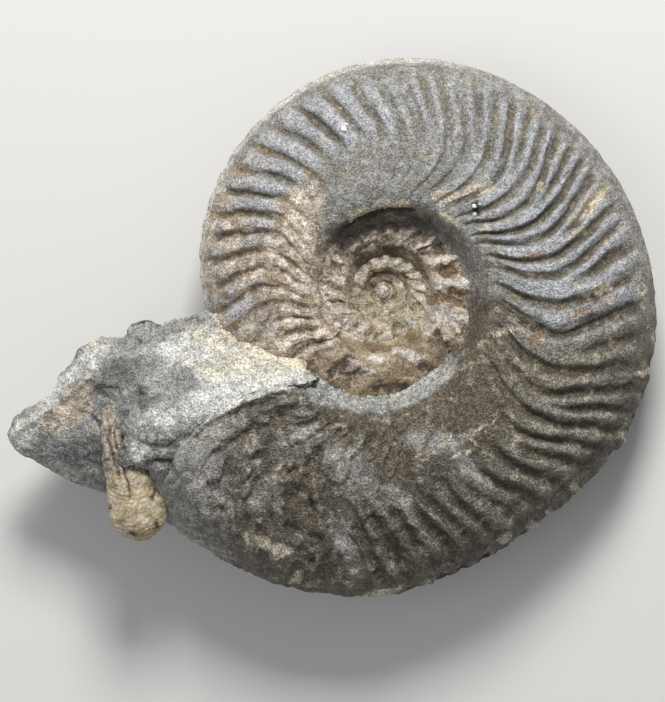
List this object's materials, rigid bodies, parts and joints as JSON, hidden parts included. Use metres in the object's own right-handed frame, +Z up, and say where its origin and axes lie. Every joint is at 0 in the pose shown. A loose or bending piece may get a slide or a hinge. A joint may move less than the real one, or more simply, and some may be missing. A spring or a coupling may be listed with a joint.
{
  "type": "ammonite fossil",
  "caption": "Ribbed and keeled ammonite fossil with sandstone matrix at its broken mouth and a small shell in the stone, lying on one flank.",
  "frame": {"origin": "middle of the bottom of the whole object's box, on the surface it lies on", "axes": "+X to the right of the picture, away from the rock; +Y to its top; +Z up, out of the pictured flank"},
  "size_m": [0.111, 0.0918, 0.0302],
  "materials": {
    "fossil_shell": "fine sugary grain, grey-brown with pale rib crests and dark olive grooves, slightly glossy",
    "sandstone": "rough grey sandstone with pale and dark grains, matt",
    "small_shell": "ochre-cream shell calcite with growth lines, half matt"
  },
  "bodies": {
    "root": {"ammonite": "fossil_shell", "matrix_rock": "sandstone", "small_shell": "small_shell"}
  },
  "joints": []
}
